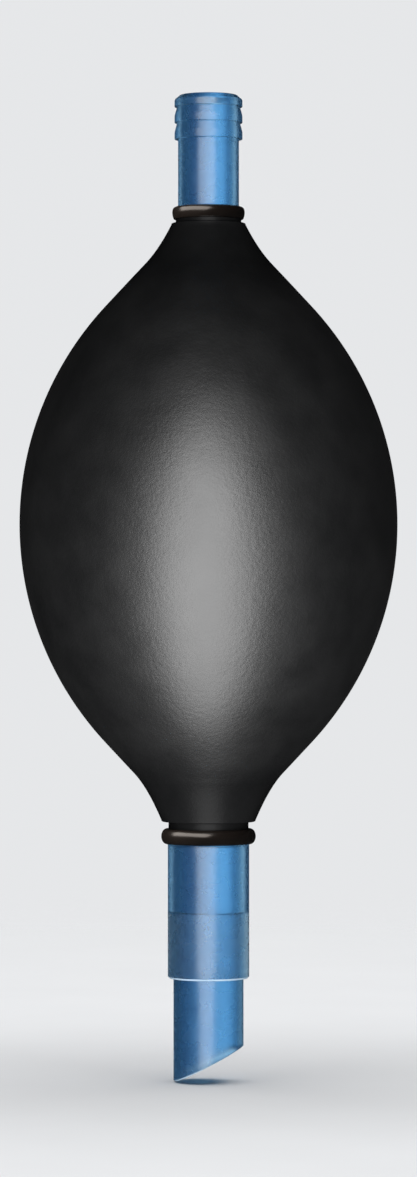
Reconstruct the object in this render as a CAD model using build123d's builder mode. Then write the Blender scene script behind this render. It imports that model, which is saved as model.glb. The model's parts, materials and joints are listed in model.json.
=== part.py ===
"""Hand squeeze bulb that starts the flow in an aquarium or pond siphon hose.

The axis is Z. Water comes in at the top through the barbed hose adapter, passes a
spring loaded ball valve into the rubber bulb, and leaves at the bottom through a
second ball valve, a clear sleeve and a clear tube with a slanted end. The origin is
on the axis, level with the lowest point of the slanted end. Lengths are millimetres.
"""

import math
import os

from build123d import *

os.makedirs("parts", exist_ok=True)

CLEARANCE = 0.05
FACE_GAP = 0.02

# Rubber bulb: a belly arc, a straight flank at each end, then a short neck.
bulb_mid_z = 84.3
bulb_radius = 28.5
belly_arc_radius = 48.4
flank_angle = 43.0
bulb_wall = 2.2
side_band_half_width = 8.0

inlet_neck_top = 132.3
inlet_neck_radius = 4.96
inlet_neck_bore_radius = 4.05
inlet_flank_break = 39.5
inlet_flank_end = 45.5
inlet_flank_end_radius = 5.6
inlet_ring_height = 1.9
inlet_ring_radius = 5.5
inlet_ring_edge = 0.35

outlet_neck_bottom = 36.0
outlet_neck_radius = 6.05
outlet_neck_bore_radius = 4.95
outlet_flank_break = 37.6
outlet_flank_end = 44.9
outlet_flank_end_radius = 7.1
outlet_ring_height = 2.3
outlet_ring_radius = 7.15
outlet_ring_land = 0.25

# Hose adapter with three barbs, pushed into the upper neck.
adapter_tip = 149.2
adapter_radius = 4.6
adapter_bore_radius = 3.1
adapter_plug_length = 9.0
adapter_lead_in = 0.3
barb_radius = 5.13
barb_root_radius = 4.75
barb_shoulders = (1.8, 4.2, 6.7)
barb_land = 1.1

# Valve cartridge, the same at both ends: seat, soft ring, ball, spring and cage.
seat_bore_radius = 2.2
seat_flange_height = 1.2
seat_lower_length = 2.0
seat_upper_length = 3.0
seat_ring_mean_radius = 2.45
seat_ring_cord = 0.84
ring_recess_depth = 0.9
ring_recess_radius = 2.9
ball_radius = 2.6
cage_radius = 4.0
cage_bore_radius = 3.4
cage_length = 11.2
cage_floor = 1.0
cage_bar_width = 1.1
cage_window_width = 3.0
cage_window_height = 6.0
cage_rib_width = 1.0
cage_rib_radius = 2.68
cage_rib_overlap = 0.25
spring_wire = 0.36
spring_mean_radius = 1.9
spring_coils = 5

# Clear outlet: a stepped sleeve with a plug for the lower neck, and a plain tube.
sleeve_bottom = 15.7
sleeve_radius = 6.15
sleeve_socket_depth = 10.0
sleeve_bore_radius = 4.1
sleeve_plug_top = 48.0
sleeve_ledge = 1.0
sleeve_ledge_bore_radius = 3.3
sleeve_rim = 0.3
tube_radius = 5.29
tube_spigot_radius = 4.95
tube_bore_radius = 4.25
tube_slant = 27.5
tube_lead_in = 0.3

flank_slope = math.tan(math.radians(flank_angle))
flank_along = (-math.sin(math.radians(flank_angle)), math.cos(math.radians(flank_angle)))
arc_centre_radius = bulb_radius - belly_arc_radius


def arc_end(arc_radius):
    """Radius and height above mid where the belly arc runs out into the flank."""
    turn = math.radians(flank_angle)
    return (arc_centre_radius + arc_radius * math.cos(turn), arc_radius * math.sin(turn))


def flank_radius(height, arc_radius):
    """Radius of the straight flank at a height above mid."""
    start_radius, start_height = arc_end(arc_radius)
    return start_radius - flank_slope * (height - start_height)


def flank_height(radius, arc_radius):
    """Height above mid where the straight flank comes in to a radius."""
    start_radius, start_height = arc_end(arc_radius)
    return start_height + (start_radius - radius) / flank_slope


def at_mid(radius, height):
    """Point of the profile plane, from a radius and a height above mid."""
    return (radius, bulb_mid_z + height)


outer_start = arc_end(belly_arc_radius)
inner_arc_radius = belly_arc_radius - bulb_wall
inner_start = arc_end(inner_arc_radius)
inner_top = flank_height(inlet_neck_bore_radius, inner_arc_radius)
inner_bottom = flank_height(outlet_neck_bore_radius, inner_arc_radius)
inlet_break_radius = flank_radius(inlet_flank_break, belly_arc_radius)
outlet_break_radius = flank_radius(outlet_flank_break, belly_arc_radius)

with BuildPart() as bulb_shell:
    with BuildSketch(Plane.XZ):
        with BuildLine():
            Polyline(
                (outlet_neck_bore_radius, outlet_neck_bottom),
                (outlet_neck_radius, outlet_neck_bottom),
                at_mid(outlet_neck_radius, -outlet_flank_end),
                at_mid(outlet_flank_end_radius, -outlet_flank_end),
            )
            TangentArc(
                at_mid(outlet_break_radius, -outlet_flank_break),
                at_mid(outlet_flank_end_radius, -outlet_flank_end),
                tangent=(flank_along[0], -flank_along[1]),
            )
            Line(
                at_mid(outlet_break_radius, -outlet_flank_break),
                at_mid(outer_start[0], -outer_start[1]),
            )
            CenterArc(at_mid(arc_centre_radius, 0), belly_arc_radius, -flank_angle, 2 * flank_angle)
            Line(at_mid(*outer_start), at_mid(inlet_break_radius, inlet_flank_break))
            TangentArc(
                at_mid(inlet_break_radius, inlet_flank_break),
                at_mid(inlet_flank_end_radius, inlet_flank_end),
                tangent=flank_along,
            )
            Polyline(
                at_mid(inlet_flank_end_radius, inlet_flank_end),
                at_mid(inlet_neck_radius, inlet_flank_end),
                (inlet_neck_radius, inlet_neck_top),
                (inlet_neck_bore_radius, inlet_neck_top),
                at_mid(inlet_neck_bore_radius, inner_top),
                at_mid(*inner_start),
            )
            CenterArc(at_mid(arc_centre_radius, 0), inner_arc_radius, -flank_angle, 2 * flank_angle)
            Polyline(
                at_mid(inner_start[0], -inner_start[1]),
                at_mid(outlet_neck_bore_radius, -inner_bottom),
                (outlet_neck_bore_radius, outlet_neck_bottom),
            )
        make_face()
    revolve(axis=Axis.Z)

slab_width = 2 * bulb_radius
slab_height = inlet_neck_top + CLEARANCE
wall_depth = bulb_radius - side_band_half_width
wall_offset = side_band_half_width + FACE_GAP + wall_depth / 2

# The necks and the two sides that fold, with the moulded ends of the bulb.
with BuildPart() as squeeze_bulb:
    add(bulb_shell.part)
    with Locations((0, 0, slab_height / 2)):
        Box(slab_width, 2 * side_band_half_width, slab_height, mode=Mode.INTERSECT)

# The wall under the fingers.
with BuildPart() as bulb_front_wall:
    add(bulb_shell.part)
    with Locations((0, -wall_offset, slab_height / 2)):
        Box(slab_width, wall_depth, slab_height, mode=Mode.INTERSECT)

# The wall under the thumb.
with BuildPart() as bulb_rear_wall:
    add(bulb_shell.part)
    with Locations((0, wall_offset, slab_height / 2)):
        Box(slab_width, wall_depth, slab_height, mode=Mode.INTERSECT)

# Flat topped ring that clamps the upper neck on the adapter's plug.
with BuildPart() as inlet_neck_ring:
    with BuildSketch(Plane.XZ):
        with BuildLine():
            Polyline(
                (inlet_neck_radius + FACE_GAP, inlet_neck_top),
                (inlet_neck_radius + FACE_GAP, inlet_neck_top - inlet_ring_height),
                (inlet_ring_radius - inlet_ring_edge, inlet_neck_top - inlet_ring_height),
                (inlet_ring_radius - FACE_GAP, inlet_neck_top - inlet_ring_height + inlet_ring_edge),
                (inlet_ring_radius, inlet_neck_top),
                close=True,
            )
        make_face()
    revolve(axis=Axis.Z)

# Round ring that clamps the lower neck on the sleeve's plug.
outlet_ring_inside = outlet_neck_radius + FACE_GAP
outlet_ring_shoulder = outlet_ring_inside + outlet_ring_land
outlet_ring_low = outlet_neck_bottom
outlet_ring_high = outlet_neck_bottom + outlet_ring_height
with BuildPart() as outlet_neck_ring:
    with BuildSketch(Plane.XZ):
        with BuildLine():
            Polyline(
                (outlet_ring_shoulder, outlet_ring_high),
                (outlet_ring_inside, outlet_ring_high),
                (outlet_ring_inside, outlet_ring_low),
                (outlet_ring_shoulder, outlet_ring_low),
            )
            ThreePointArc(
                (outlet_ring_shoulder, outlet_ring_low),
                (outlet_ring_radius, (outlet_ring_low + outlet_ring_high) / 2),
                (outlet_ring_shoulder, outlet_ring_high),
            )
        make_face()
    revolve(axis=Axis.Z)

# Clear hose adapter. Its shoulder rests on the neck and the plug holds the valve.
adapter_shoulder = inlet_neck_top + FACE_GAP
adapter_plug_bottom = inlet_neck_top - adapter_plug_length
with BuildPart() as inlet_hose_adapter:
    with BuildSketch(Plane.XZ):
        with BuildLine():
            barb_points = [
                (adapter_bore_radius, adapter_plug_bottom),
                (cage_radius - adapter_lead_in, adapter_plug_bottom),
                (cage_radius, adapter_plug_bottom + adapter_lead_in),
                (cage_radius, adapter_shoulder),
                (adapter_radius, adapter_shoulder),
            ]
            below = adapter_radius
            for shoulder in reversed(barb_shoulders):
                barb_points.append((below, adapter_tip - shoulder))
                barb_points.append((barb_radius, adapter_tip - shoulder))
                barb_points.append((barb_radius, adapter_tip - shoulder + barb_land))
                below = barb_root_radius
            barb_points.append((adapter_radius, adapter_tip - adapter_lead_in))
            barb_points.append((adapter_radius - adapter_lead_in, adapter_tip))
            barb_points.append((adapter_bore_radius, adapter_tip))
            Polyline(*barb_points, close=True)
        make_face()
    revolve(axis=Axis.Z)


def valve_seat(top_of_cage, flange_radius, spigot_length):
    """Stepped seat: a flange over the cage, a spigot each way and a ring recess."""
    spigot_bottom = top_of_cage - seat_lower_length
    height = seat_lower_length + seat_flange_height - FACE_GAP + spigot_length
    with BuildPart() as seat:
        with Locations((0, 0, spigot_bottom)):
            Cylinder(
                cage_bore_radius - CLEARANCE,
                seat_lower_length,
                align=(Align.CENTER, Align.CENTER, Align.MIN),
            )
        with Locations((0, 0, top_of_cage + FACE_GAP)):
            Cylinder(
                flange_radius,
                seat_flange_height - 2 * FACE_GAP,
                align=(Align.CENTER, Align.CENTER, Align.MIN),
            )
        with Locations((0, 0, spigot_bottom)):
            Cylinder(
                adapter_bore_radius - CLEARANCE,
                height,
                align=(Align.CENTER, Align.CENTER, Align.MIN),
            )
            Cylinder(
                seat_bore_radius,
                height,
                align=(Align.CENTER, Align.CENTER, Align.MIN),
                mode=Mode.SUBTRACT,
            )
            Cylinder(
                ring_recess_radius,
                ring_recess_depth,
                align=(Align.CENTER, Align.CENTER, Align.MIN),
                mode=Mode.SUBTRACT,
            )
    return seat.part


def seat_ring(top_of_cage):
    """Soft ring lying in the recess of the seat."""
    with BuildPart() as ring:
        with Locations((0, 0, ring_height(top_of_cage))):
            Torus(seat_ring_mean_radius, seat_ring_cord / 2)
    return ring.part


def ring_height(top_of_cage):
    """Height of the middle of the soft ring."""
    return top_of_cage - seat_lower_length + ring_recess_depth - seat_ring_cord / 2 - FACE_GAP


def ball_height(top_of_cage):
    """Height of the ball's middle when it rests on the soft ring."""
    reach = ball_radius + seat_ring_cord / 2 + FACE_GAP
    return ring_height(top_of_cage) - math.sqrt(reach**2 - seat_ring_mean_radius**2)


def valve_ball(top_of_cage):
    """Ball, closed on its seat."""
    with BuildPart() as ball:
        with Locations((0, 0, ball_height(top_of_cage))):
            Sphere(ball_radius)
    return ball.part


def valve_cage(top_of_cage):
    """Tube with four windows, four guide ribs and a cross at the bottom."""
    bottom = top_of_cage - cage_length
    floor_top = bottom + cage_floor
    rib_depth = cage_bore_radius - cage_rib_radius + cage_rib_overlap
    rib_height = cage_length - seat_lower_length - CLEARANCE
    on_bottom = (Align.CENTER, Align.CENTER, Align.MIN)
    with BuildPart() as cage:
        with Locations((0, 0, bottom)):
            Cylinder(cage_radius, cage_length - FACE_GAP, align=on_bottom)
            Cylinder(cage_bore_radius, cage_length, align=on_bottom, mode=Mode.SUBTRACT)
        with Locations((0, 0, floor_top + cage_window_height / 2)):
            for turn in (0, 90):
                Box(
                    2 * cage_radius + cage_window_width,
                    cage_window_width,
                    cage_window_height,
                    rotation=(0, 0, turn),
                    mode=Mode.SUBTRACT,
                )
        with Locations((0, 0, bottom)):
            for turn in (45, 135):
                Box(
                    2 * (cage_bore_radius + cage_rib_overlap),
                    cage_bar_width,
                    cage_floor,
                    rotation=(0, 0, turn),
                    align=on_bottom,
                )
        with PolarLocations(cage_rib_radius + rib_depth / 2, 4, start_angle=45):
            with Locations((0, 0, bottom)):
                Box(rib_depth, cage_rib_width, rib_height, align=on_bottom)
    return cage.part


def valve_spring(top_of_cage):
    """Light wire spring that stands on the cross and holds the ball up."""
    reach = ball_radius + spring_wire / 2 + FACE_GAP
    spring_top = ball_height(top_of_cage) - math.sqrt(reach**2 - spring_mean_radius**2)
    spring_foot = top_of_cage - cage_length + cage_floor + spring_wire / 2 + FACE_GAP
    length = spring_top - spring_foot
    with BuildPart() as spring:
        with BuildLine():
            coil = Helix(
                pitch=length / spring_coils,
                height=length,
                radius=spring_mean_radius,
                center=(0, 0, spring_foot),
            )
        with BuildSketch(Plane(origin=coil @ 0, z_dir=coil % 0)):
            Circle(spring_wire / 2)
        sweep(path=coil, is_frenet=True)
    return spring.part


inlet_cage_top = adapter_plug_bottom - seat_flange_height
outlet_cage_top = sleeve_plug_top

inlet_valve_seat = valve_seat(inlet_cage_top, cage_radius, seat_upper_length)
inlet_seat_ring = seat_ring(inlet_cage_top)
inlet_ball = valve_ball(inlet_cage_top)
inlet_spring = valve_spring(inlet_cage_top)
inlet_valve_cage = valve_cage(inlet_cage_top)

outlet_plug_radius = outlet_neck_bore_radius - CLEARANCE
outlet_valve_seat = valve_seat(outlet_cage_top, outlet_plug_radius, 0)
outlet_seat_ring = seat_ring(outlet_cage_top)
outlet_ball = valve_ball(outlet_cage_top)
outlet_spring = valve_spring(outlet_cage_top)
outlet_valve_cage = valve_cage(outlet_cage_top)

# Clear sleeve: socket for the tube below, plug and valve pocket above.
ledge_top = outlet_cage_top - cage_length - FACE_GAP
socket_top = sleeve_bottom + sleeve_socket_depth
socket_radius = tube_spigot_radius + CLEARANCE
with BuildPart() as outlet_sleeve:
    with BuildSketch(Plane.XZ):
        with BuildLine():
            Polyline(
                (socket_radius, sleeve_bottom),
                (sleeve_radius - sleeve_rim, sleeve_bottom),
                (sleeve_radius, sleeve_bottom + sleeve_rim),
                (sleeve_radius, outlet_neck_bottom - FACE_GAP),
                (outlet_plug_radius, outlet_neck_bottom - FACE_GAP),
                (outlet_plug_radius, sleeve_plug_top),
                (cage_radius + CLEARANCE, sleeve_plug_top),
                (cage_radius + CLEARANCE, ledge_top),
                (sleeve_ledge_bore_radius, ledge_top),
                (sleeve_ledge_bore_radius, ledge_top - sleeve_ledge),
                (sleeve_bore_radius, ledge_top - sleeve_ledge),
                (sleeve_bore_radius, socket_top),
                (socket_radius, socket_top),
                close=True,
            )
        make_face()
    revolve(axis=Axis.Z)

# Clear tube. A shoulder stops it under the sleeve, and the free end is cut on a slant
# so that it can't seal against the bottom of a bucket.
tube_top = socket_top - FACE_GAP
tube_shoulder = sleeve_bottom - FACE_GAP
slant_rise = 2 * tube_radius * math.tan(math.radians(tube_slant))
with BuildPart() as outlet_tube:
    with BuildSketch(Plane.XZ):
        with BuildLine():
            Polyline(
                (tube_bore_radius, 0),
                (tube_radius, 0),
                (tube_radius, tube_shoulder),
                (tube_spigot_radius, tube_shoulder),
                (tube_spigot_radius, tube_top - tube_lead_in),
                (tube_spigot_radius - tube_lead_in, tube_top),
                (tube_bore_radius, tube_top),
                close=True,
            )
        make_face()
    revolve(axis=Axis.Z)
    with BuildSketch(Plane.XZ):
        with BuildLine():
            Polyline(
                (-tube_radius, 0),
                (tube_radius, slant_rise),
                (tube_radius, -slant_rise),
                (-tube_radius, -slant_rise),
                close=True,
            )
        make_face()
    extrude(amount=2 * tube_radius, both=True, mode=Mode.SUBTRACT)

pieces = {
    "squeeze_bulb": squeeze_bulb.part,
    "bulb_front_wall": bulb_front_wall.part,
    "bulb_rear_wall": bulb_rear_wall.part,
    "inlet_neck_ring": inlet_neck_ring.part,
    "outlet_neck_ring": outlet_neck_ring.part,
    "inlet_hose_adapter": inlet_hose_adapter.part,
    "inlet_valve_seat": inlet_valve_seat,
    "inlet_seat_ring": inlet_seat_ring,
    "inlet_ball": inlet_ball,
    "inlet_spring": inlet_spring,
    "inlet_valve_cage": inlet_valve_cage,
    "outlet_sleeve": outlet_sleeve.part,
    "outlet_valve_seat": outlet_valve_seat,
    "outlet_seat_ring": outlet_seat_ring,
    "outlet_ball": outlet_ball,
    "outlet_spring": outlet_spring,
    "outlet_valve_cage": outlet_valve_cage,
    "outlet_tube": outlet_tube.part,
}
for name, piece in pieces.items():
    piece.label = name
    export_step(piece, f"parts/{name}.step")
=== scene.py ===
import json
import math

import bpy
import numpy as np
from mathutils import Matrix, Vector

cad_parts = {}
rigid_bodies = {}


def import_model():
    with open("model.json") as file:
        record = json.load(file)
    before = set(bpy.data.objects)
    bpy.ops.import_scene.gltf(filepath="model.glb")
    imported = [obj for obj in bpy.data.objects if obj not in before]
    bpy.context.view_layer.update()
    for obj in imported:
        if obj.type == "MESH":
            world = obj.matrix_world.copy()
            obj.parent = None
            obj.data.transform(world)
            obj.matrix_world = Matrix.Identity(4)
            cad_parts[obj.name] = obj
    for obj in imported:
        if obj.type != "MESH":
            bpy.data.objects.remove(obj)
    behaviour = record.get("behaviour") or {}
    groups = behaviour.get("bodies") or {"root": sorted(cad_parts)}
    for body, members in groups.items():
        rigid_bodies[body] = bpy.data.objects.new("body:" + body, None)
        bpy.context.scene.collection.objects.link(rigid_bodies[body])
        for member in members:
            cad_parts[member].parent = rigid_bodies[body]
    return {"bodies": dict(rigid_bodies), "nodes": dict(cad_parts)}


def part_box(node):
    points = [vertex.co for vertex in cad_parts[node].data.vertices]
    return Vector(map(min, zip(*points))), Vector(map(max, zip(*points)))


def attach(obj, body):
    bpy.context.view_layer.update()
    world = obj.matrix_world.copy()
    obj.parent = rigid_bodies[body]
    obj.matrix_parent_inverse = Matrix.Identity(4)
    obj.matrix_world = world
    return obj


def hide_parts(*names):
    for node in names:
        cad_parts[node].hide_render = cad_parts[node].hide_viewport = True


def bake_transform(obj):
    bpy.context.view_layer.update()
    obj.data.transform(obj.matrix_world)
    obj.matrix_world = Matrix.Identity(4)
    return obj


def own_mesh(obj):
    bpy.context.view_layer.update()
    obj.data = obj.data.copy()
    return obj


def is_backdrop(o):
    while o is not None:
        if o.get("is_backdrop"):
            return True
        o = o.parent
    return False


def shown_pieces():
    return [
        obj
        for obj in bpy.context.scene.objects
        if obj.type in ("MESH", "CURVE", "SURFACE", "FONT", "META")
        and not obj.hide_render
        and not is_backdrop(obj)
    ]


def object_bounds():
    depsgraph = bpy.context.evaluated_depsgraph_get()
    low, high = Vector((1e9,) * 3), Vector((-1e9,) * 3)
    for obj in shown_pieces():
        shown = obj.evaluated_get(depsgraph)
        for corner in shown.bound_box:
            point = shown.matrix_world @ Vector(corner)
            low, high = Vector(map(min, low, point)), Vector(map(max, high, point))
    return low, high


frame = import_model()
frame_box = [list(corner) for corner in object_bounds()]

# Shapes are written in millimetres. The floor, the lights and the camera are in metres.
MM = 0.001

# ---------------------------------------------------------------- places read from the CAD frame


def span(node):
    """Lowest and highest corner of a CAD node, in millimetres."""
    low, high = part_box(node)
    return [c / MM for c in low], [c / MM for c in high]


bulb_low, bulb_high = span("squeeze_bulb")
upper_ring_low, upper_ring_high = span("inlet_neck_ring")
lower_ring_low, lower_ring_high = span("outlet_neck_ring")
adapter_low, adapter_high = span("inlet_hose_adapter")
sleeve_low, sleeve_high = span("outlet_sleeve")
tube_high = span("outlet_tube")[1]

# ---------------------------------------------------------------- mesh helpers


def arc(centre, radius, start, stop, steps):
    """Points along an arc, angles in degrees, both ends included."""
    turns = np.radians(np.linspace(start, stop, steps))
    return [(centre[0] + radius * math.cos(t), centre[1] + radius * math.sin(t)) for t in turns]


def bend(first, middle, last, t):
    """A place on the curve from first to last that middle pulls. It takes numbers or vectors."""
    return first * (1 - t) ** 2 + middle * 2 * t * (1 - t) + last * t**2


def eased(corners, steps=4):
    """A closed outline from (r, z, easing) corners, each corner rounded by its easing."""
    # Two roundings never meet on a short side.
    most = 0.45
    outline = []
    for i, (r, z, easing) in enumerate(corners):
        here = Vector((r, z))
        if easing <= 0:
            outline.append(tuple(here))
            continue
        back = Vector(corners[i - 1][:2]) - here
        ahead = Vector(corners[(i + 1) % len(corners)][:2]) - here
        first = here + back.normalized() * min(easing, back.length * most)
        last = here + ahead.normalized() * min(easing, ahead.length * most)
        outline += [tuple(bend(first, here, last, k / steps)) for k in range(steps + 1)]
    return outline


def finer(outline, longest):
    """The same closed outline with long sides cut up."""
    cut = []
    for i, a in enumerate(outline):
        b = outline[(i + 1) % len(outline)]
        parts = max(1, math.ceil(math.dist(a, b) / longest))
        for k in range(parts):
            t = k / parts
            cut.append((a[0] + (b[0] - a[0]) * t, a[1] + (b[1] - a[1]) * t))
    return cut


def mesh_piece(name, points, faces, material, crease=32):
    """An object from points in millimetres, smooth but for its creases."""
    mesh = bpy.data.meshes.new(name)
    mesh.from_pydata((np.array(points) * MM).tolist(), [], faces)
    mesh.validate()
    mesh.update()
    mesh.shade_smooth()
    mesh.set_sharp_from_angle(angle=math.radians(crease))
    mesh.materials.append(material)
    piece = bpy.data.objects.new(name, mesh)
    bpy.context.scene.collection.objects.link(piece)
    return piece


def turned(name, outline, material, around=144, shift=None):
    """A closed outline turned about the axis. shift(x, z) may give each point a new height."""
    points = []
    for k in range(around):
        t = 2 * math.pi * k / around
        for r, z in outline:
            x, y = r * math.cos(t), r * math.sin(t)
            points.append((x, y, z if shift is None else shift(x, z)))
    n = len(outline)
    faces = []
    for k in range(around):
        a, b = k * n, ((k + 1) % around) * n
        for i in range(n):
            j = (i + 1) % n
            faces.append((a + i, b + i, b + j, a + j))
    return mesh_piece(name, points, faces, material)


def wire(name, path, radius, material, sides=12):
    """A round wire along a path of points, closed at both ends."""
    path = [Vector(p) for p in path]
    points = []
    for i, p in enumerate(path):
        along = (path[min(i + 1, len(path) - 1)] - path[max(i - 1, 0)]).normalized()
        out = Vector((p.x, p.y, 0)).normalized()
        side = along.cross(out).normalized()
        out = side.cross(along).normalized()
        for k in range(sides):
            t = 2 * math.pi * k / sides
            points.append(tuple(p + out * radius * math.cos(t) + side * radius * math.sin(t)))
    faces = []
    for i in range(len(path) - 1):
        for k in range(sides):
            a, b = i * sides + k, i * sides + (k + 1) % sides
            faces.append((a, b, b + sides, a + sides))
    faces.append(tuple(reversed(range(sides))))
    last = (len(path) - 1) * sides
    faces.append(tuple(range(last, last + sides)))
    return mesh_piece(name, points, faces, material, crease=60)


# ---------------------------------------------------------------- material helpers


def feed(tree, node, inputs):
    """Fills a node's inputs by name, each with a value or with another node's output."""
    for name, value in inputs.items():
        socket = node.inputs[name]
        if isinstance(value, bpy.types.NodeSocket):
            tree.links.new(value, socket)
        elif socket.type == "RGBA":
            socket.default_value = (*value, 1)
        else:
            socket.default_value = value


def add(tree, kind, inputs=None, **settings):
    """A new node. Its settings come first, as they decide which inputs it has."""
    node = tree.nodes.new("ShaderNode" + kind)
    for name, value in settings.items():
        setattr(node, name, value)
    feed(tree, node, inputs or {})
    return node


def computed(tree, operation, *operands):
    """The value of a math node."""
    return add(tree, "Math", dict(enumerate(operands)), operation=operation).outputs["Value"]


def axes(tree, vector):
    """The parts of a vector, by name."""
    return add(tree, "SeparateXYZ", {"Vector": vector}).outputs


def noise(tree, vector, scale, detail=4.0, rough=0.5):
    """A noise value whose scale is in waves per metre."""
    inputs = {"Vector": vector, "Scale": scale, "Detail": detail, "Roughness": rough}
    return add(tree, "TexNoise", inputs).outputs["Fac"]


def spread(tree, value, low, high, from_low=0.3, from_high=0.7, how="LINEAR"):
    """A value in a new range. The range it comes from is that of a noise, unless it is given."""
    inputs = {
        "Value": value,
        "From Min": from_low,
        "From Max": from_high,
        "To Min": low,
        "To Max": high,
    }
    return add(tree, "MapRange", inputs, interpolation_type=how).outputs["Result"]


def mixed(tree, factor, first, second):
    """A colour between two, each a colour or another node's output."""
    inputs = {"Factor": factor, "A": first, "B": second}
    return add(tree, "Mix", inputs, data_type="RGBA").outputs["Result"]


def bumped(tree, height, strength, depth, over=None):
    """A bump of a given depth in metres, over another bump if there is one."""
    inputs = {"Strength": strength, "Distance": depth, "Height": height}
    if over is not None:
        inputs["Normal"] = over
    return add(tree, "Bump", inputs).outputs["Normal"]


def new_material(name):
    """A material, its node tree, its surface and the place of each point in metres."""
    material = bpy.data.materials.new(name)
    material.use_nodes = True
    tree = material.node_tree
    place = add(tree, "TexCoord").outputs["Object"]
    return material, tree, tree.nodes["Principled BSDF"], place


RUBBER_SHINE = 0.75


def rubber(name, dark, light, rough, grain, sheen=0.0, shiny=None):
    """Moulded rubber: fine grain, patches of bloom, a little sheen.

    shiny is the middle height of a shiny band, how far from it the shine starts to drop and has
    dropped, and the share that is left. The lengths are in metres.
    """
    material, tree, surface, place = new_material(name)
    broad = noise(tree, place, scale=140, detail=5.0, rough=0.55)
    pebble = noise(tree, place, scale=1500, detail=2.0)
    fine = noise(tree, place, scale=4200, detail=3.0, rough=0.6)
    pebbled = bumped(tree, pebble, grain, depth=0.00004)
    shine = RUBBER_SHINE
    if shiny is not None:
        middle, starts, ends, left = shiny
        above = computed(tree, "SUBTRACT", axes(tree, place)["Z"], middle)
        away = computed(tree, "ABSOLUTE", above)
        shine = spread(tree, away, RUBBER_SHINE, RUBBER_SHINE * left, starts, ends)
    inputs = {
        "Base Color": mixed(tree, spread(tree, broad, 0, 1), dark, light),
        "Roughness": spread(tree, broad, *rough),
        "Specular IOR Level": shine,
        "Sheen Weight": sheen,
        "Sheen Roughness": 0.5,
        "Normal": bumped(tree, fine, grain, depth=0.00003, over=pebbled),
    }
    feed(tree, surface, inputs)
    return material


TINT = (0.37, 0.69, 0.96)
DEEP_TINT = (0.22, 0.45, 0.66)
THIN_TINT = (0.6, 0.825, 0.98)


def clear(name, thin=None):
    """Tinted clear plastic with faint draw lines, deeper where it is seen edge on.

    thin is the last height of the full wall and the first height of a thinner and paler one, in
    metres.
    """
    material, tree, surface, place = new_material(name)
    cloud = noise(tree, place, scale=260)
    drawn = add(tree, "Mapping", {"Vector": place, "Scale": (1, 1, 0.02)}).outputs["Vector"]
    lines = noise(tree, drawn, scale=2600, detail=2.0)
    darker = tuple(c * 0.93 for c in TINT)
    clouded = mixed(tree, spread(tree, cloud, 0, 1), darker, TINT)
    facing = add(tree, "LayerWeight").outputs["Facing"]
    edge_on = spread(tree, facing, 0, 1, from_low=0.12, from_high=0.55)
    colour = mixed(tree, edge_on, clouded, DEEP_TINT)
    if thin is not None:
        thinness = spread(tree, axes(tree, place)["Z"], 0, 1, *thin)
        colour = mixed(tree, thinness, colour, THIN_TINT)
    inputs = {
        "Base Color": colour,
        "Roughness": spread(tree, cloud, 0.23, 0.3),
        "Transmission Weight": 0.98,
        "IOR": 1.49,
        "Normal": bumped(tree, lines, strength=0.14, depth=0.00001),
    }
    feed(tree, surface, inputs)
    return material


def moulded(name, dark, light, rough, grain):
    """Opaque moulded plastic with a faint mottle."""
    material, tree, surface, place = new_material(name)
    broad = noise(tree, place, scale=400)
    fine = noise(tree, place, scale=3000, detail=3.0, rough=0.6)
    inputs = {
        "Base Color": mixed(tree, spread(tree, broad, 0, 1), dark, light),
        "Roughness": spread(tree, fine, rough - 0.05, rough + 0.06),
        "Normal": bumped(tree, fine, grain, depth=0.00001),
    }
    feed(tree, surface, inputs)
    return material


def drawn_steel(name):
    """Stainless wire with a fine drawn surface."""
    material, tree, surface, place = new_material(name)
    fine = noise(tree, place, scale=9000, detail=2.0, rough=0.6)
    inputs = {
        "Base Color": mixed(tree, fine, (0.56, 0.57, 0.59), (0.7, 0.71, 0.73)),
        "Roughness": spread(tree, fine, 0.26, 0.36),
        "Metallic": 1.0,
    }
    feed(tree, surface, inputs)
    return material


# Heights that both a shape and its material use, in millimetres. The bulb is widest at MID.
MID = 84.3
SOCKET_TOP = 25.7
TUBE_SHOULDER = 15.68

bulb_rubber = rubber(
    "black_bulb_rubber",
    dark=(0.0035, 0.0036, 0.0038),
    light=(0.0055, 0.0056, 0.0058),
    rough=(0.37, 0.43),
    grain=0.6,
    shiny=(MID * MM, 0.033, 0.039, 0.1),
)
ring_rubber = rubber(
    "glossy_ring_rubber",
    dark=(0.011, 0.009, 0.008),
    light=(0.018, 0.014, 0.012),
    rough=(0.2, 0.26),
    grain=0.05,
)
seal_rubber = rubber(
    "soft_seal_rubber",
    dark=(0.02, 0.02, 0.022),
    light=(0.035, 0.035, 0.038),
    rough=(0.5, 0.6),
    grain=0.3,
    sheen=0.1,
)
clear_plastic = clear("clear_blue_plastic")
sleeve_plastic = clear(
    "clear_blue_sleeve_plastic", thin=(SOCKET_TOP * MM, (SOCKET_TOP - 0.1) * MM)
)
tube_plastic = clear(
    "clear_blue_tube_plastic", thin=((TUBE_SHOULDER + 0.02) * MM, (TUBE_SHOULDER + 0.12) * MM)
)
cut_plastic = moulded(
    "cut_plastic_edge", dark=(0.42, 0.58, 0.74), light=(0.5, 0.66, 0.8), rough=0.5, grain=0.5
)
valve_plastic = moulded(
    "valve_plastic", dark=(0.72, 0.73, 0.71), light=(0.82, 0.82, 0.8), rough=0.42, grain=0.3
)
ball_plastic = moulded(
    "ball_plastic", dark=(0.8, 0.79, 0.74), light=(0.88, 0.87, 0.82), rough=0.24, grain=0.1
)
spring_steel = drawn_steel("spring_steel")

# ---------------------------------------------------------------- rubber bulb, in two half shells

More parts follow.
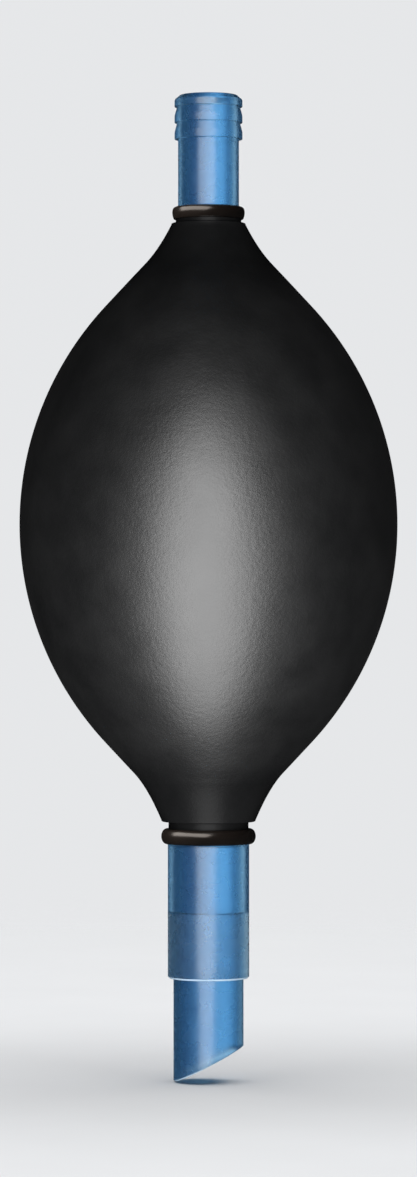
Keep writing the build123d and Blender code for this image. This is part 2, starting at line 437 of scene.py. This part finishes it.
BULB_RADIUS = bulb_high[0]
BELLY_ARC = 48.4
ARC_CENTRE = BULB_RADIUS - BELLY_ARC
FLANK = math.radians(43.0)
WALL = 2.2
UPPER_NECK, UPPER_BORE = 4.96, 4.05
LOWER_NECK, LOWER_BORE = 6.05, 4.95
NECK_TOP, NECK_BOTTOM = bulb_high[2], bulb_low[2]


def half_profile(bend_start, bend_end, foot):
    """Belly arc, straight flank and the bend to the neck's foot radius, as (r, height from MID)."""
    profile = [
        (ARC_CENTRE + BELLY_ARC * math.cos(t), BELLY_ARC * math.sin(t))
        for t in np.linspace(0, FLANK, 40)
    ]
    edge_r, edge_h = profile[-1]
    profile += [
        (edge_r - math.tan(FLANK) * s, edge_h + s)
        for s in np.linspace(0, bend_start - edge_h, 8)[1:]
    ]
    start_r, start_h = profile[-1]
    handle = (start_r - foot) / 2 / math.tan(FLANK)
    middle_r, middle_h = start_r - math.tan(FLANK) * handle, start_h + handle
    profile += [
        (bend(start_r, middle_r, foot, t), bend(start_h, middle_h, bend_end, t))
        for t in np.linspace(0, 1, 12)[1:]
    ]
    return profile


neck_up, neck_down = NECK_TOP - MID, MID - NECK_BOTTOM
upper = half_profile(bend_start=39.5, bend_end=45.3, foot=5.62) + [
    (5.6, 45.45), (5.45, 45.52), (5.1, 45.52), (UPPER_NECK, 45.6),
    (UPPER_NECK, neck_up - 0.25), (4.88, neck_up - 0.06), (4.7, neck_up),
]
lower = half_profile(bend_start=37.6, bend_end=44.7, foot=7.12) + [
    (7.08, 44.85), (6.95, 44.92), (6.2, 44.92), (LOWER_NECK, 45.0),
    (LOWER_NECK, neck_down - 0.25), (5.98, neck_down - 0.06), (5.8, neck_down),
]
outer = [(r, MID - h) for r, h in reversed(lower)] + [(r, MID + h) for r, h in upper[1:]]

CAVITY_ARC = BELLY_ARC - WALL
cavity_edge = (ARC_CENTRE + CAVITY_ARC * math.cos(FLANK), CAVITY_ARC * math.sin(FLANK))


def inner_radius(z):
    """Radius of the cavity at a height."""
    height = abs(z - MID)
    if height < cavity_edge[1]:
        return ARC_CENTRE + math.sqrt(CAVITY_ARC**2 - height**2)
    bore = UPPER_BORE if z > MID else LOWER_BORE
    return max(bore, cavity_edge[0] - math.tan(FLANK) * (height - cavity_edge[1]))


# The inside has a point for each point of the outside. The share of the outside's length that
# lies below a point is the share of the height that its partner stands at.
walked = np.concatenate(([0], np.cumsum([math.dist(a, b) for a, b in zip(outer, outer[1:])])))
heights = [NECK_BOTTOM + (NECK_TOP - NECK_BOTTOM) * s for s in walked / walked[-1]]
inner = [(inner_radius(z), z) for z in heights]

# The mould's parting line runs up both sides. It is full where the bulb is wider than its necks.
PARTING_HEIGHT = 0.09
PARTING_WIDTH = 0.32
PARTING_STARTS, PARTING_FULL = 6.0, 12.0
# Columns of the mesh crowd at the parting line. These are how far they are from it on the belly.
CLOSE_COLUMNS = (0.0, 0.12, 0.25, 0.4, 0.6, 0.9, 1.4)
OPEN_COLUMNS_START = 2.2
close_by = np.array(CLOSE_COLUMNS) / BULB_RADIUS
open_start = OPEN_COLUMNS_START / BULB_RADIUS
open_run = np.linspace(open_start, math.pi - open_start, 110)
turns = np.concatenate((close_by, open_run, math.pi - close_by[::-1]))


def parting_line(r, from_seam):
    """How far the skin stands proud at a radius and an angle from the seam."""
    share = min(1.0, max(0.0, (r - PARTING_STARTS) / (PARTING_FULL - PARTING_STARTS)))
    return PARTING_HEIGHT * share * math.exp(-((from_seam * r / PARTING_WIDTH) ** 2))


def half_shell(name, side):
    """Half of the bulb as a closed shell. side is -1 for the front and 1 for the rear."""
    points = []
    for t in turns:
        x, y = math.cos(t), side * math.sin(t)
        from_seam = min(t, math.pi - t)
        for r, z in outer:
            proud = r + parting_line(r, from_seam)
            points.append((proud * x, proud * y, z))
        points += [(r * x, r * y, z) for r, z in inner]
    rows = len(outer)
    block = 2 * rows
    last = (len(turns) - 1) * block
    faces = []
    for a in range(0, last, block):
        b = a + block
        for i in range(rows - 1):
            faces.append((a + i, b + i, b + i + 1, a + i + 1))
            faces.append((a + rows + i, a + rows + i + 1, b + rows + i + 1, b + rows + i))
        faces.append((a + rows - 1, b + rows - 1, b + block - 1, a + block - 1))
        faces.append((a, a + rows, b + rows, b))
    for i in range(rows - 1):
        faces.append((i, i + 1, rows + i + 1, rows + i))
        faces.append((last + i, last + rows + i, last + rows + i + 1, last + i + 1))
    if side < 0:
        faces = [tuple(reversed(face)) for face in faces]
    return mesh_piece(name, points, faces, bulb_rubber, crease=40)


front = half_shell("bulb_rubber_front", -1)
rear = half_shell("bulb_rubber_rear", 1)
# Each half shell's placing is baked into its points.
for shell, side, body in ((front, -1, "bulb_front"), (rear, 1, "bulb_rear")):
    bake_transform(shell)
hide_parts("bulb_front_wall", "squeeze_bulb")
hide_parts("bulb_rear_wall")

# ---------------------------------------------------------------- rings on the necks

LIP_BORE = 4.98
lip_radius, lip_bottom, lip_top = upper_ring_high[0], upper_ring_low[2], upper_ring_high[2]
lip_corners = [
    (LIP_BORE, lip_bottom, 0.06),
    (5.26, lip_bottom, 0.2),
    (lip_radius - 0.06, lip_bottom + 0.55, 0.3),
    (lip_radius, lip_top - 0.75, 0.5),
    (lip_radius - 0.16, lip_top - 0.16, 0.5),
    (lip_radius - 0.6, lip_top, 0.3),
    (LIP_BORE, lip_top, 0.05),
]
lip_outline = finer(eased(lip_corners), longest=0.6)
lip = turned("upper_neck_ring", lip_outline, ring_rubber)
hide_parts("inlet_neck_ring")
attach(lip, "bulb")

BEAD_BORE = 6.07
BEAD_NOSE = 0.78
bead_mid = (lower_ring_low[2] + lower_ring_high[2]) / 2
bead_half = (lower_ring_high[2] - lower_ring_low[2]) / 2
nose_root = lower_ring_high[0] - BEAD_NOSE
bead_outline = [(BEAD_BORE, bead_mid + bead_half - 0.1), (BEAD_BORE, bead_mid - bead_half + 0.1)]
for t in np.radians(np.linspace(-90, 90, 17)):
    bead_outline.append((nose_root + BEAD_NOSE * math.cos(t), bead_mid + bead_half * math.sin(t)))
bead_outline = finer(bead_outline, longest=0.6)
bead = turned("lower_neck_ring", bead_outline, ring_rubber)
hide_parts("outlet_neck_ring")
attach(bead, "bulb")

# ---------------------------------------------------------------- clear hose adapter

# The wide parts start this far outside the neck they stand on.
NECK_GAP = 0.02
ADAPTER_BORE, ADAPTER_PLUG, ADAPTER_BODY = 3.1, 4.0, 4.6
BARB_RADIUS, BARB_ROOT, BARB_LENGTH = adapter_high[0], 4.75, 1.1
adapter_foot, adapter_tip = adapter_low[2], adapter_high[2]
adapter_corners = [
    (ADAPTER_BORE, adapter_foot, 0.1),
    (ADAPTER_PLUG, adapter_foot, 0.35),
    (ADAPTER_PLUG, NECK_TOP + NECK_GAP, 0.0),
    (ADAPTER_BODY, NECK_TOP + NECK_GAP, 0.12),
]
for root, drop in ((ADAPTER_BODY, 6.7), (BARB_ROOT, 4.2), (BARB_ROOT, 1.8)):
    barb_foot = adapter_tip - drop
    adapter_corners += [
        (root, barb_foot, 0.08),
        (BARB_RADIUS, barb_foot, 0.07),
        (BARB_RADIUS, barb_foot + BARB_LENGTH, 0.25),
    ]
adapter_corners += [
    (4.62, adapter_tip - 0.3, 0.25),
    (4.3, adapter_tip, 0.2),
    (ADAPTER_BORE + 0.15, adapter_tip, 0.12),
    (ADAPTER_BORE, adapter_tip - 0.2, 0.1),
]
adapter_outline = finer(eased(adapter_corners), longest=1.5)
adapter = turned("clear_hose_adapter", adapter_outline, clear_plastic)
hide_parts("inlet_hose_adapter")
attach(adapter, "inlet_fitting")

# ---------------------------------------------------------------- clear sleeve and tube

SLEEVE_RADIUS, SOCKET_RADIUS, SLEEVE_BORE = 6.15, 5.0, 4.1
PLUG_RADIUS, PLUG_BORE = 4.9, 4.05
LEDGE_RADIUS, LEDGE_BOTTOM, LEDGE_TOP = 3.3, 35.78, 36.78
sleeve_foot, sleeve_top = sleeve_low[2], sleeve_high[2]
sleeve_corners = [
    (SOCKET_RADIUS, sleeve_foot, 0.1),
    (SLEEVE_RADIUS - 0.25, sleeve_foot, 0.05),
    (SLEEVE_RADIUS, sleeve_foot + 0.28, 0.05),
    (SLEEVE_RADIUS, NECK_BOTTOM - NECK_GAP, 0.12),
    (PLUG_RADIUS, NECK_BOTTOM - NECK_GAP, 0.0),
    (PLUG_RADIUS, sleeve_top, 0.25),
    (PLUG_BORE, sleeve_top, 0.1),
    (PLUG_BORE, LEDGE_TOP, 0.05),
    (LEDGE_RADIUS, LEDGE_TOP, 0.05),
    (LEDGE_RADIUS, LEDGE_BOTTOM, 0.05),
    (SLEEVE_BORE, LEDGE_BOTTOM, 0.2),
    (SLEEVE_BORE, SOCKET_TOP, 0.1),
    (SOCKET_RADIUS, SOCKET_TOP, 0.05),
]
sleeve_outline = finer(eased(sleeve_corners), longest=1.5)
sleeve = turned("clear_sleeve", sleeve_outline, sleeve_plastic)
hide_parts("outlet_sleeve")
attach(sleeve, "outlet_fitting")

TUBE_RADIUS, TUBE_PLUG, TUBE_BORE = tube_high[0], 4.95, 4.25
SLANT = math.tan(math.radians(27.5))
SLANT_FADES_AT = 7.0
tube_corners = [
    (TUBE_BORE, 0.0, 0.05),
    (TUBE_RADIUS - 0.24, 0.0, 0.04),
    (TUBE_RADIUS, 0.26, 0.04),
    (TUBE_RADIUS, TUBE_SHOULDER, 0.1),
    (TUBE_PLUG, TUBE_SHOULDER, 0.0),
    (TUBE_PLUG, tube_high[2], 0.25),
    (TUBE_BORE, tube_high[2], 0.1),
]


def slanted(x, z):
    """Lifts the lower end on to the slant and leaves the rest alone."""
    return z + SLANT * (x + TUBE_RADIUS) * max(0.0, 1 - z / SLANT_FADES_AT)


tube_outline = finer(eased(tube_corners), longest=1.0)
tube = turned("clear_outlet_tube", tube_outline, tube_plastic, shift=slanted)
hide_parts("outlet_tube")
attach(tube, "outlet_end")


def frost_cut(piece, below):
    """Gives the sawn faces at a piece's lower end the pale look of cut plastic."""
    piece.data.materials.append(cut_plastic)
    for face in piece.data.polygons:
        if face.normal.z < -0.4 and face.center.z < below * MM:
            face.material_index = 1


frost_cut(sleeve, below=sleeve_foot + 0.5)
frost_cut(tube, below=SLANT_FADES_AT + 1.0)

# ---------------------------------------------------------------- valves

# The wire is measured by its radius, and the pitch of the closed turns is in wire radii.
SPRING_WIRE = 0.18
SPRING_TURNS = 6.2
CLOSED_TURNS = 0.9
CLOSED_PITCH = 2.05


def coil_path(radius, foot, top):
    """A coil whose first and last turns lie wire on wire."""
    open_turns = SPRING_TURNS - 2 * CLOSED_TURNS
    open_rise = top - foot - 2 * CLOSED_TURNS * SPRING_WIRE * CLOSED_PITCH
    path = []
    for t in np.linspace(0, SPRING_TURNS, 260):
        closed = min(t, CLOSED_TURNS) + max(0.0, t - (SPRING_TURNS - CLOSED_TURNS))
        rise = closed * SPRING_WIRE * CLOSED_PITCH
        rise_open = open_rise * (t - closed) / open_turns
        turn = 2 * math.pi * t
        path.append((radius * math.cos(turn), radius * math.sin(turn), foot + rise + rise_open))
    return path


for end in ("inlet", "outlet"):
    body = f"{end}_fitting"

    seat_low, seat_high = span(f"{end}_seat_ring")
    cord = (seat_high[2] - seat_low[2]) / 2
    centre = (seat_high[0] - cord, (seat_low[2] + seat_high[2]) / 2)
    seal_outline = arc(centre, cord, 0, 360, 25)[:-1]
    seal = turned(f"{end}_soft_seal", seal_outline, seal_rubber, around=96)
    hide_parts(f"{end}_seat_ring")
    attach(seal, body)

    coil_low, coil_high = span(f"{end}_spring")
    foot, top = coil_low[2] + SPRING_WIRE, coil_high[2] - SPRING_WIRE
    path = coil_path(coil_high[0] - SPRING_WIRE, foot, top)
    coil = wire(f"{end}_coil_spring", path, SPRING_WIRE, spring_steel)
    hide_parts(f"{end}_spring")
    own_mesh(coil)
    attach(coil, body)

    for part, material in (
        ("valve_seat", valve_plastic),
        ("valve_cage", valve_plastic),
        ("ball", ball_plastic),
    ):
        materials = frame["nodes"][f"{end}_{part}"].data.materials
        materials.clear()
        materials.append(material)

# ---------------------------------------------------------------- floor

FLOOR_RADIUS = 0.62
FLOOR_FADES_FROM, FLOOR_GONE_AT = 0.10, 0.42


def fading_floor(circles=24, around=72):
    """A pale round floor that melts into the studio's own colour away from the object."""
    points = [(0, 0, 0)]
    for k in range(1, circles + 1):
        for j in range(around):
            t = 2 * math.pi * j / around
            r = FLOOR_RADIUS * k / circles
            points.append((r * math.cos(t), r * math.sin(t), 0))
    faces = [(0, 1 + j, 1 + (j + 1) % around) for j in range(around)]
    for k in range(circles - 1):
        a, b = 1 + k * around, 1 + (k + 1) * around
        faces += [(a + j, b + j, b + (j + 1) % around, a + (j + 1) % around) for j in range(around)]
    mesh = bpy.data.meshes.new("floor")
    mesh.from_pydata(points, [], faces)
    mesh.shade_smooth()

    material, tree, surface, place = new_material("pale_floor")
    mottle = spread(tree, noise(tree, place, scale=30), 0, 1)
    colour = mixed(tree, mottle, (0.76, 0.77, 0.785), (0.78, 0.79, 0.805))
    feed(tree, surface, {"Base Color": colour, "Roughness": 0.8, "Specular IOR Level": 0.0})
    away = add(tree, "VectorMath", {0: place}, operation="LENGTH").outputs["Value"]
    fade = spread(tree, away, 0, 1, FLOOR_FADES_FROM, FLOOR_GONE_AT, how="SMOOTHSTEP")
    from_below = add(tree, "NewGeometry").outputs["Backfacing"]
    hidden = computed(tree, "MAXIMUM", fade, from_below)
    gone = add(tree, "BsdfTransparent").outputs["BSDF"]
    shown = add(tree, "MixShader", {"Fac": hidden, 1: surface.outputs["BSDF"], 2: gone})
    feed(tree, tree.nodes["Material Output"], {"Surface": shown.outputs["Shader"]})
    mesh.materials.append(material)

    floor = bpy.data.objects.new("floor", mesh)
    bpy.context.scene.collection.objects.link(floor)
    floor.visible_glossy = False
    floor.visible_transmission = False
    floor.parent = frame["bodies"]["outlet_end"]
    floor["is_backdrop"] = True
    return floor


floor = fading_floor()

# ---------------------------------------------------------------- camera and lights

# The camera is level, in front of the object. The lights turn with it, as round a turntable.
FRAME_HEIGHT = 0.178
centre_height = (frame_box[0][2] + frame_box[1][2]) / 2
camera_data = bpy.data.cameras.new("camera")
camera_data.lens = 135
camera_data.clip_start = 0.01
camera = bpy.data.objects.new("camera", camera_data)
bpy.context.scene.collection.objects.link(camera)
distance = FRAME_HEIGHT * camera_data.lens / camera_data.sensor_width
camera.location = (0, -distance, centre_height)
camera.rotation_euler = (math.radians(90), 0, 0)
bpy.context.scene.camera = camera

rig = bpy.data.objects.new("light_rig", None)
bpy.context.scene.collection.objects.link(rig)
rig.location = (0, 0, centre_height)
rig.constraints.new("COPY_ROTATION").target = camera


def group_of(name, *members):
    """A collection that says which objects a light reaches or is blocked by."""
    group = bpy.data.collections.new(name)
    for member in members:
        group.objects.link(member)
    return group


def lamp(name, size, power, lights, colour=(1, 1, 1), shape="RECTANGLE"):
    """A soft light that only some objects receive. size is its width and height."""
    light = bpy.data.lights.new(name, "AREA")
    light.shape = shape
    light.size, light.size_y = size
    light.energy = power
    light.color = colour
    holder = bpy.data.objects.new(name, light)
    bpy.context.scene.collection.objects.link(holder)
    holder.visible_camera = False
    holder.visible_transmission = False
    holder.light_linking.receiver_collection = lights
    return holder


def softbox(name, azimuth, elevation, far, **options):
    """A soft light of the camera's rig. Azimuth 0 is behind the camera and 90 is at its right."""
    side, up = math.radians(azimuth), math.radians(elevation)
    reach = Vector((math.sin(side) * math.cos(up), math.sin(up), math.cos(side) * math.cos(up)))
    across = Vector((0, 1, 0)).cross(reach).normalized()
    upright = Matrix((across, reach.cross(across), reach)).transposed()
    box = lamp(name, **options)
    box.parent = rig
    box.location = reach * far
    box.rotation_mode = "QUATERNION"
    box.rotation_quaternion = upright.to_quaternion()
    box.light_linking.blocker_collection = part_only


outside = (front, rear, lip, bead, adapter, sleeve, tube)
inside = [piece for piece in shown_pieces() if piece not in outside]
part_only = group_of("part", *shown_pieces())
floor_only = group_of("floor_group", floor)
shells = group_of("shells", front, rear)
rings = group_of("rings", lip, bead)
clears = group_of("clears", adapter, sleeve, tube)
inner_parts = group_of("inner_parts", *inside)
WARM = (1.0, 0.9, 0.82)
softbox("key", -2.5, -19, 0.8, size=(0.86, 2.35), power=33, lights=shells, shape="ELLIPSE")
softbox("clear_key", -7, 14, 0.8, size=(1.0, 1.1), power=14, lights=clears, shape="ELLIPSE")
softbox("inner_key", 12, 18, 0.8, size=(1.7, 1.7), power=12, lights=inner_parts)
softbox("ring_key", -52, 36, 0.6, size=(1.3, 0.5), power=8, lights=rings, colour=WARM)
lamp("overhead", size=(2.6, 2.6), power=50, lights=floor_only).location = (0, 0, 1.6)

# ---------------------------------------------------------------- studio

PALE = (0.79, 0.80, 0.815)
DARK = (0.009, 0.0093, 0.010)
# What is seen through the clear plastic, by degrees to the right of straight ahead.
THROUGH_CLEAR = (
    (-85, (0.02, 0.085, 0.16)),
    (-6, (0.02, 0.085, 0.16)),
    (-1, (0.28, 0.34, 0.4)),
    (4, (1.0, 1.01, 1.03)),
    (14, (1.12, 1.16, 1.19)),
    (25, (0.5, 0.66, 0.76)),
    (40, (0.16, 0.31, 0.44)),
    (62, (0.14, 0.31, 0.48)),
    (80, (0.06, 0.15, 0.25)),
    (95, (0.1, 0.25, 0.4)),
)


def studio_world():
    """Pale to the camera, dark to reflections, and a row of stripes through clear plastic."""
    world = bpy.data.worlds.new("studio")
    bpy.context.scene.world = world
    world.use_nodes = True
    tree = world.node_tree
    ray = add(tree, "TexCoord").outputs["Generated"]
    seen_from_camera = add(
        tree,
        "VectorTransform",
        {"Vector": ray},
        vector_type="VECTOR",
        convert_from="WORLD",
        convert_to="CAMERA",
    )
    way = axes(tree, seen_from_camera.outputs["Vector"])
    turn = computed(tree, "ARCTAN2", way["X"], computed(tree, "ABSOLUTE", way["Z"]))
    ramp = add(tree, "ValToRGB", {"Fac": spread(tree, turn, 0, 1, -math.pi, math.pi)})
    stops = ramp.color_ramp.elements
    while len(stops) > 1:
        stops.remove(stops[-1])
    for i, (degrees, colour) in enumerate(THROUGH_CLEAR):
        where = 0.5 + degrees / 360
        stop = stops[0] if i == 0 else stops.new(where)
        stop.position = where
        stop.color = (*colour, 1)
    is_ray = add(tree, "LightPath").outputs
    through = mixed(tree, is_ray["Is Transmission Ray"], DARK, ramp.outputs["Color"])
    shown = mixed(tree, is_ray["Is Camera Ray"], through, PALE)
    feed(tree, tree.nodes["Background"], {"Color": shown})


studio_world()
bpy.context.scene.view_settings.view_transform = "Standard"
